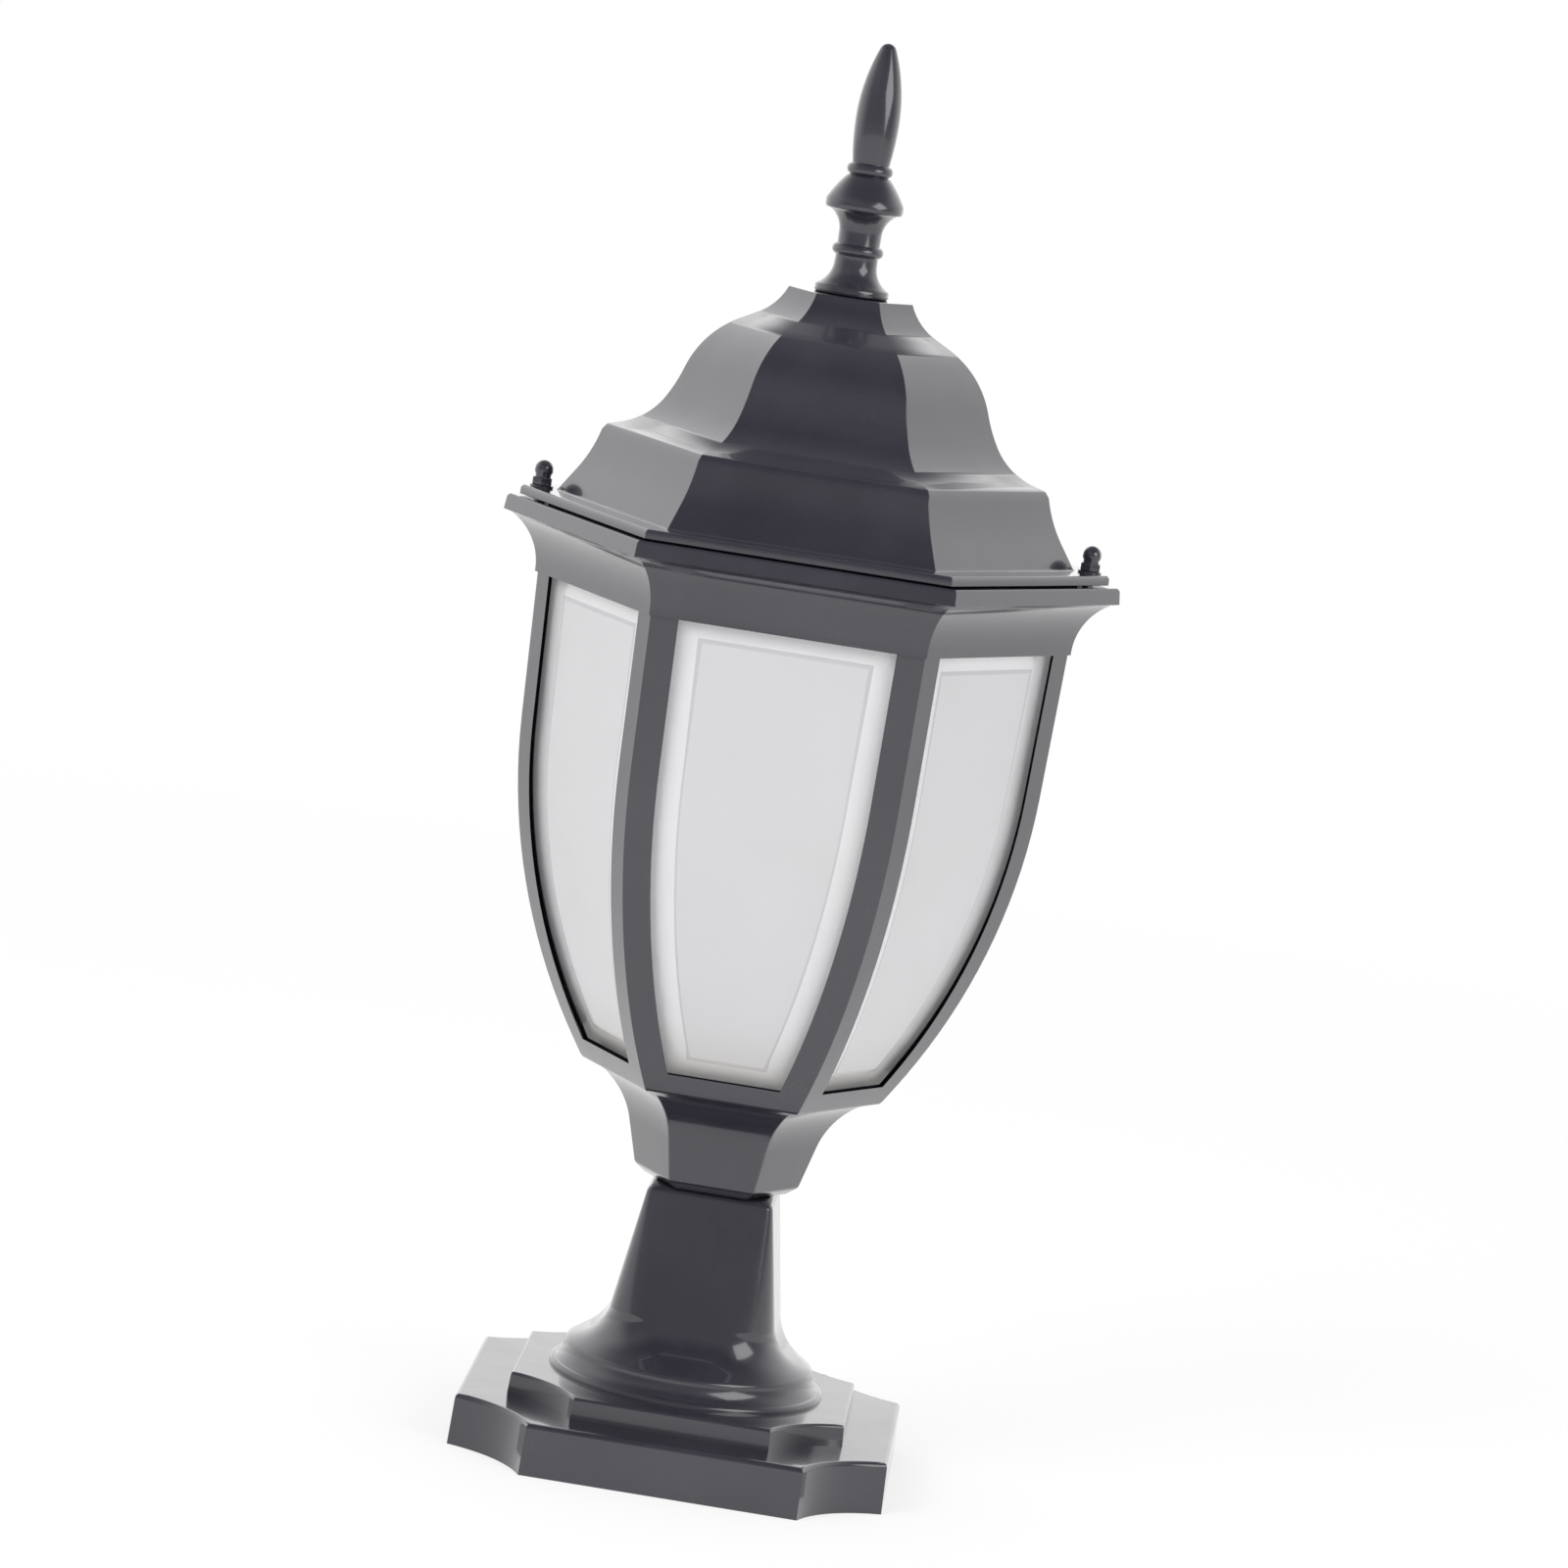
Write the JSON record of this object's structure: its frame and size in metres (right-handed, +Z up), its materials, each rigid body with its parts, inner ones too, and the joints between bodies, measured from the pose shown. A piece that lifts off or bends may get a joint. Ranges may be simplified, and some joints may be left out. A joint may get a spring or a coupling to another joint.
{
  "type": "outdoor pillar light",
  "caption": "Six-sided cast lantern with curved bevelled glass, stepped roof and turned finial on a flared neck and square plinth with scalloped corners.",
  "frame": {"origin": "centre of the plinth's underside, where the light stands on its pillar", "axes": "+Z up along the lantern's axis; -Y is the front face; two of the six corners lie on the X axis"},
  "size_m": [0.2272, 0.1968, 0.5237],
  "materials": {
    "painted_casting": "glossy black enamel on cast aluminium",
    "painted_fixing": "black enamel on steel",
    "bevelled_glass": "satin frosted glass with a bevelled border",
    "plated_steel": "zinc plated",
    "brass": "plain turned brass",
    "insulator": "white glazed",
    "gasket": "matt black rubber"
  },
  "bodies": {
    "root": {"pedestal": "painted_casting", "mounting_strap": "plated_steel", "grub_screw_left": "plated_steel", "grub_screw_right": "plated_steel", "terminal_block": "insulator", "terminal_screw": "plated_steel", "earth_screw": "brass", "earth_washer": "brass", "gallery_cup": "painted_casting", "lantern_cage": "painted_casting", "tie_tube": "brass", "lower_washer": "plated_steel", "lower_nut": "brass", "upper_washer": "plated_steel", "upper_nut": "brass", "lampholder_cap": "plated_steel", "lampholder_body": "insulator", "screw_shell": "brass", "centre_contact": "brass", "lampholder_screws": "plated_steel", "glass_front": "bevelled_glass", "glass_front_right": "bevelled_glass", "glass_back_right": "bevelled_glass", "glass_back": "bevelled_glass", "glass_back_left": "bevelled_glass", "glass_front_left": "bevelled_glass", "clip_front": "plated_steel", "clip_front_right": "plated_steel", "clip_back_right": "plated_steel", "clip_back": "plated_steel", "clip_back_left": "plated_steel", "clip_front_left": "plated_steel", "clip_screws": "plated_steel", "roof_gasket": "gasket", "roof": "painted_casting", "stud_left": "plated_steel", "stud_right": "plated_steel", "roof_washer_left": "painted_fixing", "roof_washer_right": "painted_fixing", "cap_nut_left": "painted_fixing", "cap_nut_right": "painted_fixing", "finial": "painted_casting", "finial_stud": "plated_steel", "finial_washer": "plated_steel", "finial_nut": "plated_steel"}
  },
  "joints": []
}
